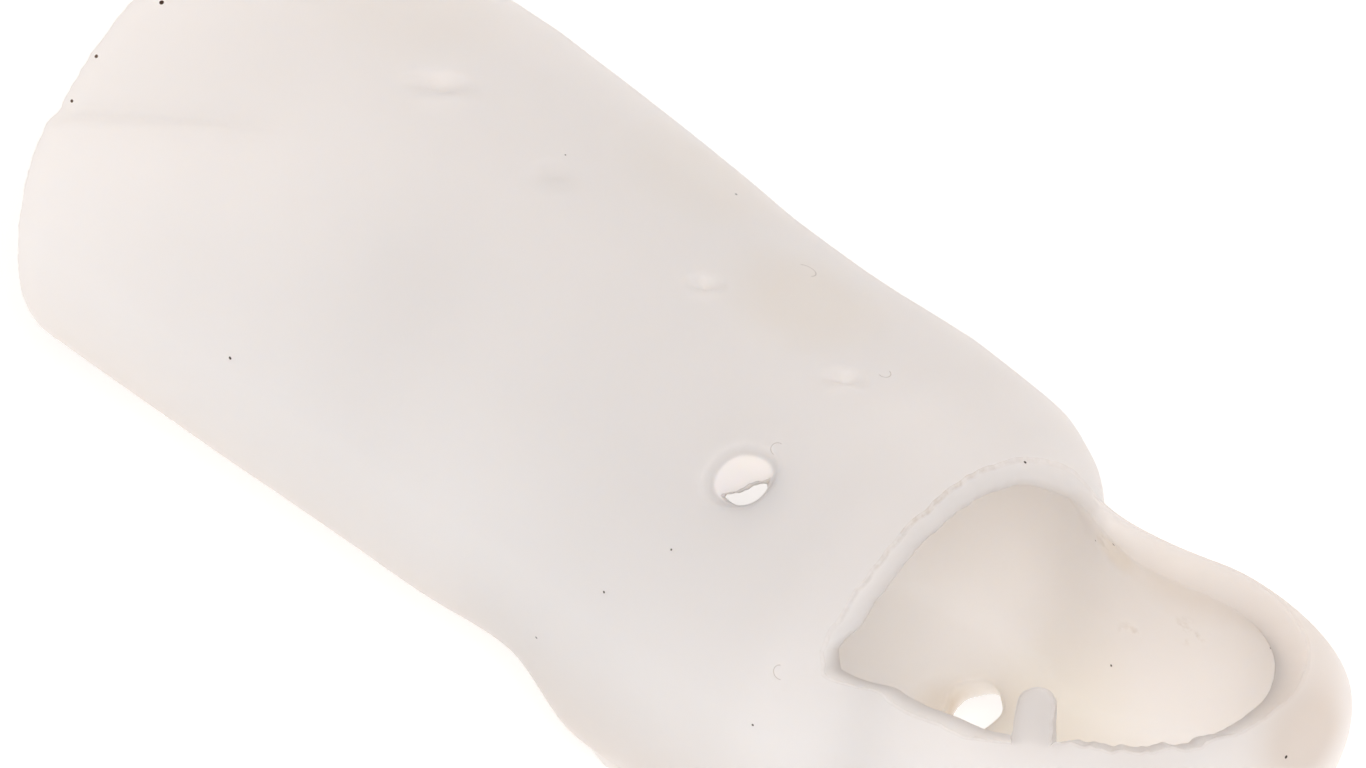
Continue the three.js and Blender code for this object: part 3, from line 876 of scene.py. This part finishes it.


# Marks on the skin, and patches of painted light and shade, as places in millimetres from the rim
TONE_AND_PAINTED_LIGHT_PATCHES = (  # place, radius, tone, strength; the white one covers, the others dull
    # painted highlight where the back swells before the cut
    ((39.0, 1.7, 20.1), 4.5, "#FFFFFF", 1.0),
    # painted shade on the top and far side of the tube
    ((30.0, 3.5, 19.8), 5.0, "#F6EFE6", 0.8),
    ((22.0, 6.0, 18.5), 6.0, "#F8F3ED", 0.8),
    ((8.0, 4.0, 20.5), 6.5, "#F8F3EE", 0.8),
    # warmer tone in the tray, at the film hole and at the waist
    ((43.5, 1.5, 5.0), 7.5, "#F8F1E4", 1.0),
    ((33.7, -4.9, 19.2), 1.6, "#F3F5F9", 1.0),
    ((44.4, 5.2, 14.4), 1.5, "#F1E8DA", 0.7),
    # painted shade on the tip's outer wall, the far rim of the tray, the wall of the open hole in the sole
    # and the near outer wall by the toe
    ((55.8, 3.2, 15.0), 4.6, "#CEC8C4", 1.0),
    ((47.0, 7.6, 16.0), 4.5, "#ECE4DD", 0.8),
    ((52.5, 7.0, 16.5), 4.0, "#E8E0DA", 0.8),
    ((40.3, 1.8, 1.5), 2.3, "#D4C9C0", 1.0),
    ((53.0, -2.5, 12.5), 5.5, "#EDE7E4", 1.0),
)
SPECKS = (  # place, radius
    ((11.6, -10.4, 13.7), 0.07),
    ((23.4, 6.5, 18.3), 0.05),
    ((1.1, -3.2, 21.2), 0.10),
    ((41.3, 3.4, 19.2), 0.06),
    ((31.0, -9.3, 14.3), 0.05),
    ((28.0, -10.2, 9.5), 0.05),
    ((39.1, -9.6, 13.3), 0.05),
    ((56.1, 2.0, 15.1), 0.07),
    ((44.3, 5.0, 14.8), 0.06),
    ((43.1, 5.3, 13.9), 0.04),
    ((44.9, 5.0, 8.1), 0.05),
    ((51.5, 5.9, 13.5), 0.05),
    ((54.0, 4.5, 15.0), 0.06),
    ((0.3, -6.2, 19.8), 0.08),
    ((0.4, -7.8, 18.5), 0.07),
    ((33.0, -7.4, 16.9), 0.04),
    ((18.5, 2.0, 21.0), 0.03),
    ((54.5, 0.5, 16.0), 0.05),
)
CURLS = (  # place, radius of the curl, side that it lies on
    ((34.3, -2.9, 19.9), 0.26, (-1.0, 0.0, 0.0)),
    ((28.6, 4.9, 19.1), 0.42, (0.3, 0.9, 0.0)),
    ((34.8, 2.6, 20.0), 0.26, (1.0, -0.2, 0.0)),
    ((39.5, -8.5, 15.9), 0.30, (-0.74, -0.68, 0.0)),
    ((48.0, 7.2, 15.3), 0.27, (0.0, 0.0, 0.0)),
)
SMUDGES = (((45.5, 5.5, 10.1), 0.9), ((47.9, 6.1, 11.9), 1.1), ((43.9, 5.4, 14.6), 0.9))


skin_tree = BVHTree.FromPolygons([Vector(p) for p in points], [[int(i) for i in f] for f in faces])


def nearest_on_skin(spot):
    """Place on the skin nearest to one given in millimetres from the rim."""
    place = Vector(((spot[0] + shell_start) * MM, spot[1] * MM, spot[2] * MM))
    return skin_tree.find_nearest(place)[0]


CLOUDS = 9.0  # size of the slow changes of tone
SMUDGE_GRAIN = 0.9
SHADE_LINE_GRAIN = 0.35
SHEEN_GRAIN = 3.0
FINE_GRAIN = 0.4
LOW_SHADE_FROM = 15.0  # height below which painted shade darkens the outside, more towards the bottom and fully at the next height
LOW_SHADE_TO = 4.0
DEEP = 11.0  # how far light goes into the clear sheet
SHALLOW = 0.5  # and into the cloudy places


def sheet_tone_and_painted_light(tree, place, inside):
    """Warm white with slow clouds, duller tone patches among which are a painted highlight and patches of
    painted shade, and painted shade that darkens the outside towards the bottom.
    """
    clouds = add_node(tree, "ShaderNodeTexNoise", {"Scale": 1 / (CLOUDS * MM), "Detail": 2.0},
                      {"Vector": place})
    tone = add_node(tree, "ShaderNodeMix", {"data_type": "RGBA", 6: linear("#FCF9F7"), 7: linear("#FEFDFC")},
                    {0: clouds}, 2)
    for spot, radius, colour, strength in TONE_AND_PAINTED_LIGHT_PATCHES:
        away = add_node(tree, "ShaderNodeVectorMath", {"operation": "DISTANCE", 1: nearest_on_skin(spot)},
                        {0: place}, "Value")
        near = add_node(tree, "ShaderNodeMapRange", {
            "interpolation_type": "SMOOTHSTEP", "From Min": 0.25 * radius * MM, "From Max": radius * MM,
            "To Min": strength, "To Max": 0.0}, {"Value": away})
        # the white patch paints a highlight, the multiplied ones mostly paint shade
        kind = "MIX" if colour == "#FFFFFF" else "MULTIPLY"
        tone = add_node(tree, "ShaderNodeMix", {"data_type": "RGBA", "blend_type": kind, 7: linear(colour)},
                        {0: near, 6: tone}, 2)
    # painted shade: the outside is made darker towards the bottom
    height = add_node(tree, "ShaderNodeSeparateXYZ", {}, {"Vector": place}, "Z")
    low = add_node(tree, "ShaderNodeMapRange", {
        "interpolation_type": "SMOOTHSTEP", "From Min": LOW_SHADE_TO * MM, "From Max": LOW_SHADE_FROM * MM,
        "To Min": 1.0, "To Max": 0.0}, {"Value": height})
    outside = add_node(tree, "ShaderNodeMapRange", {
        "interpolation_type": "SMOOTHSTEP", "To Min": 1.0, "To Max": 0.0}, {"Value": inside})
    painted_low_shade = add_node(tree, "ShaderNodeMath", {"operation": "MULTIPLY"}, {0: low, 1: outside})
    return add_node(tree, "ShaderNodeMix", {
        "data_type": "RGBA", "blend_type": "MULTIPLY", 7: linear("#DFD9D5")}, {0: painted_low_shade, 6: tone}, 2)


def smudges_and_shade_line(tree, place, burr_and_shade_line, tone):
    """Soft brown smudges in the tray, and a broken line of painted shade along the outer corner of each cut
    edge.
    """
    cloud = add_node(tree, "ShaderNodeTexNoise", {"Scale": 1 / (SMUDGE_GRAIN * MM), "Detail": 4.0},
                     {"Vector": place})
    ragged = add_node(tree, "ShaderNodeTexNoise", {"Scale": 1 / (SHADE_LINE_GRAIN * MM), "Detail": 5.0},
                      {"Vector": place})
    for spot, radius in SMUDGES:
        away = add_node(tree, "ShaderNodeVectorMath", {"operation": "DISTANCE", 1: nearest_on_skin(spot)},
                        {0: place}, "Value")
        near = add_node(tree, "ShaderNodeMapRange", {
            "interpolation_type": "SMOOTHSTEP", "From Min": 0.2 * radius * MM, "From Max": radius * MM,
            "To Min": 1.0, "To Max": 0.0}, {"Value": away})
        patches = add_node(tree, "ShaderNodeMapRange", {
            "interpolation_type": "SMOOTHSTEP", "From Min": 0.50, "From Max": 0.64, "To Min": 0.0,
            "To Max": 0.5}, {"Value": cloud})
        patchy = add_node(tree, "ShaderNodeMath", {"operation": "MULTIPLY"}, {0: near, 1: patches})
        tone = add_node(tree, "ShaderNodeMix", {"data_type": "RGBA", 7: linear("#C9BFB4")},
                        {0: patchy, 6: tone}, 2)
    # a thin, broken line of painted shade along the outer corner of the cut edges
    broken = add_node(tree, "ShaderNodeMapRange", {
        "interpolation_type": "SMOOTHSTEP", "From Min": 0.35, "From Max": 0.65, "To Min": 0.4,
        "To Max": 0.8}, {"Value": ragged})
    line = add_node(tree, "ShaderNodeMath", {"operation": "MULTIPLY"}, {0: burr_and_shade_line, 1: broken})
    return add_node(tree, "ShaderNodeMix", {"data_type": "RGBA", 7: linear("#CFC4BC")},
                    {0: line, 6: tone}, 2)


def specks_and_curls(tree, place, tone):
    """Dark specks of dust, and short curls of fibre that stuck to the warm sheet."""
    dots = None
    for spot, radius in SPECKS:
        away = add_node(tree, "ShaderNodeVectorMath", {"operation": "DISTANCE", 1: nearest_on_skin(spot)},
                        {0: place}, "Value")
        gap = add_node(tree, "ShaderNodeMath", {"operation": "SUBTRACT", 1: radius * MM}, {0: away})
        if dots is None:
            dots = gap
        else:
            dots = add_node(tree, "ShaderNodeMath", {"operation": "MINIMUM"}, {0: dots, 1: gap})
    dark = add_node(tree, "ShaderNodeMapRange", {
        "interpolation_type": "SMOOTHSTEP", "From Min": -0.02 * MM, "From Max": 0.02 * MM, "To Min": 1.0,
        "To Max": 0.0}, {"Value": dots})
    tone = add_node(tree, "ShaderNodeMix", {"data_type": "RGBA", 7: linear("#1E1612")},
                    {0: dark, 6: tone}, 2)
    for spot, radius, side in CURLS:
        away = add_node(tree, "ShaderNodeVectorMath", {"operation": "DISTANCE", 1: nearest_on_skin(spot)},
                        {0: place}, "Value")
        off = add_node(tree, "ShaderNodeMath", {"operation": "SUBTRACT", 1: radius * MM}, {0: away})
        gap = add_node(tree, "ShaderNodeMath", {"operation": "ABSOLUTE"}, {0: off})
        line = add_node(tree, "ShaderNodeMapRange", {
            "interpolation_type": "SMOOTHSTEP", "From Min": 0.01 * MM, "From Max": 0.035 * MM,
            "To Min": 0.42, "To Max": 0.0}, {"Value": gap})
        if any(side):
            middle = float(nearest_on_skin(spot).dot(Vector(side)))
            across = add_node(tree, "ShaderNodeVectorMath", {"operation": "DOT_PRODUCT", 1: Vector(side)},
                              {0: place}, "Value")
            beyond = add_node(tree, "ShaderNodeMath", {"operation": "SUBTRACT", 1: middle}, {0: across})
            open_side = add_node(tree, "ShaderNodeMapRange", {
                "interpolation_type": "SMOOTHSTEP", "From Min": -0.05 * MM, "From Max": 0.05 * MM},
                {"Value": beyond})
            line = add_node(tree, "ShaderNodeMath", {"operation": "MULTIPLY"}, {0: line, 1: open_side})
        tone = add_node(tree, "ShaderNodeMix", {"data_type": "RGBA", 7: linear("#8D7F76")},
                        {0: line, 6: tone}, 2)
    return tone


def moulded_thermoplastic():
    material = bpy.data.materials.new("moulded_thermoplastic")
    material.use_nodes = True
    tree = material.node_tree
    tree.nodes.clear()
    place = add_node(tree, "ShaderNodeTexCoord", output="Object")
    inside = add_node(tree, "ShaderNodeAttribute", {"attribute_name": "inside"}, output="Fac")
    # where the line of painted shade runs
    burr_and_shade_line = add_node(tree, "ShaderNodeAttribute", {"attribute_name": "burr_and_shade_line"}, output="Fac")
    whitened = add_node(tree, "ShaderNodeAttribute", {"attribute_name": "whitened"}, output="Fac")
    tone = sheet_tone_and_painted_light(tree, place, inside)
    tone = smudges_and_shade_line(tree, place, burr_and_shade_line, tone)
    tone = specks_and_curls(tree, place, tone)
    grain = add_node(tree, "ShaderNodeTexNoise", {"Scale": 1 / (FINE_GRAIN * MM), "Detail": 4.0},
                     {"Vector": place})
    relief = add_node(tree, "ShaderNodeBump", {"Strength": 0.12, "Distance": 0.03 * MM}, {"Height": grain})
    sheen = add_node(tree, "ShaderNodeTexNoise", {"Scale": 1 / (SHEEN_GRAIN * MM), "Detail": 3.0},
                     {"Vector": place})
    roughness = add_node(tree, "ShaderNodeMapRange", {
        "interpolation_type": "SMOOTHSTEP", "From Min": 0.3, "From Max": 0.7, "To Min": 0.42,
        "To Max": 0.55}, {"Value": sheen})
    depth = add_node(tree, "ShaderNodeMapRange", {
        "interpolation_type": "SMOOTHSTEP", "To Min": DEEP * MM, "To Max": SHALLOW * MM},
        {"Value": whitened})
    surface = add_node(tree, "ShaderNodeBsdfPrincipled", {
        "IOR": 1.46, "Specular IOR Level": 0.35, "Subsurface Weight": 0.9,
        "Subsurface Radius": (1.0, 0.85, 0.72)},
        {"Base Color": tone, "Normal": relief, "Roughness": roughness, "Subsurface Scale": depth})
    add_node(tree, "ShaderNodeOutputMaterial", {}, {"Surface": surface})
    return material


shell_mesh.materials.append(moulded_thermoplastic())
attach(shell, "root")
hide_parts("splint_shell")

# The table under it
# A wide sheet of white background paper, laid flat, with no edge in view. It is matt and so bright
# that its own light stands in for the lamps of a photographer's table.
table_mesh = bpy.data.meshes.new("table_top")
TABLE_REACH = 1.5  # metres
TABLE_DROP = 0.0002  # keeps the paper's face just clear of the sole
corners = [(-TABLE_REACH, -TABLE_REACH, 0), (TABLE_REACH, -TABLE_REACH, 0),
           (TABLE_REACH, TABLE_REACH, 0), (-TABLE_REACH, TABLE_REACH, 0)]
table_mesh.from_pydata(corners, [], [(0, 1, 2, 3)])
table = bpy.data.objects.new("table_top", table_mesh)
table.location.z = -TABLE_DROP
bpy.context.scene.collection.objects.link(table)
table_paint = bpy.data.materials.new("white_paper")
table_paint.use_nodes = True
paper = table_paint.node_tree.nodes["Principled BSDF"]
paper.inputs["Base Color"].default_value = linear("#D8D8D8")
paper.inputs["Roughness"].default_value = 0.9
paper.inputs["Emission Color"].default_value = (1, 1, 1, 1)
paper.inputs["Emission Strength"].default_value = 0.50
table_mesh.materials.append(table_paint)

# Studio light
# Two round softboxes, a strong one in front and above and a weak one behind, which lights the far wall
# through the sheet. A pale room fills the shadows.
SPLINT_MIDDLE = Vector((0.0, 0.0, 0.010))
AZIMUTH = math.radians(42.6)
ELEVATION = math.radians(50.3)
TOWARDS = Vector((math.sin(AZIMUTH) * math.cos(ELEVATION), -math.cos(AZIMUTH) * math.cos(ELEVATION),
                  math.sin(ELEVATION)))
RIGHT = Vector((math.cos(AZIMUTH), math.sin(AZIMUTH), 0.0))
UP = TOWARDS.cross(RIGHT)


def softbox(name, direction, distance, size, watts):
    data = bpy.data.lights.new(name, "AREA")
    data.shape = "DISK"
    data.size = size
    data.energy = watts
    data.color = linear("#FFF3EA")[:3]
    lamp = bpy.data.objects.new(name, data)
    direction = Vector(direction).normalized()
    lamp.location = SPLINT_MIDDLE + direction * distance
    lamp.rotation_euler = direction.to_track_quat("Z", "Y").to_euler()
    bpy.context.scene.collection.objects.link(lamp)


softbox("front_softbox", (0.45, -0.40, 0.85), 0.6, 0.26, 1.6)
softbox("back_softbox", (0.05, 0.85, 0.42), 0.6, 0.30, 0.36)
world = bpy.data.worlds.new("pale_room")
world.use_nodes = True
world.node_tree.nodes["Background"].inputs["Color"].default_value = linear("#FFF5EF")
world.node_tree.nodes["Background"].inputs["Strength"].default_value = 0.62
bpy.context.scene.world = world
bpy.context.scene.view_settings.view_transform = "Standard"

# The camera
# It stands at the photograph's angle, 300 mm away, and frames the splint as the photograph does.
PHOTO_WIDTH = 1366
PIXELS_PER_MM = 25.0
DISTANCE = 0.300
TARGET_X = 28.0  # millimetres from the rim
AIM_LEFT = 1.0
AIM_UP = 4.0
target = Vector((shell_start + TARGET_X, 0.0, 10.0)) * MM
aim = target - RIGHT * AIM_LEFT * MM + UP * AIM_UP * MM
camera_data = bpy.data.cameras.new("camera")
camera_data.sensor_width = 36.0
camera_data.lens = camera_data.sensor_width * DISTANCE / (PHOTO_WIDTH / PIXELS_PER_MM * MM)
camera_data.clip_start = 0.01
camera = bpy.data.objects.new("camera", camera_data)
camera.location = aim + TOWARDS * DISTANCE
camera.rotation_euler = TOWARDS.to_track_quat("Z", "Y").to_euler()
bpy.context.scene.collection.objects.link(camera)
bpy.context.scene.camera = camera
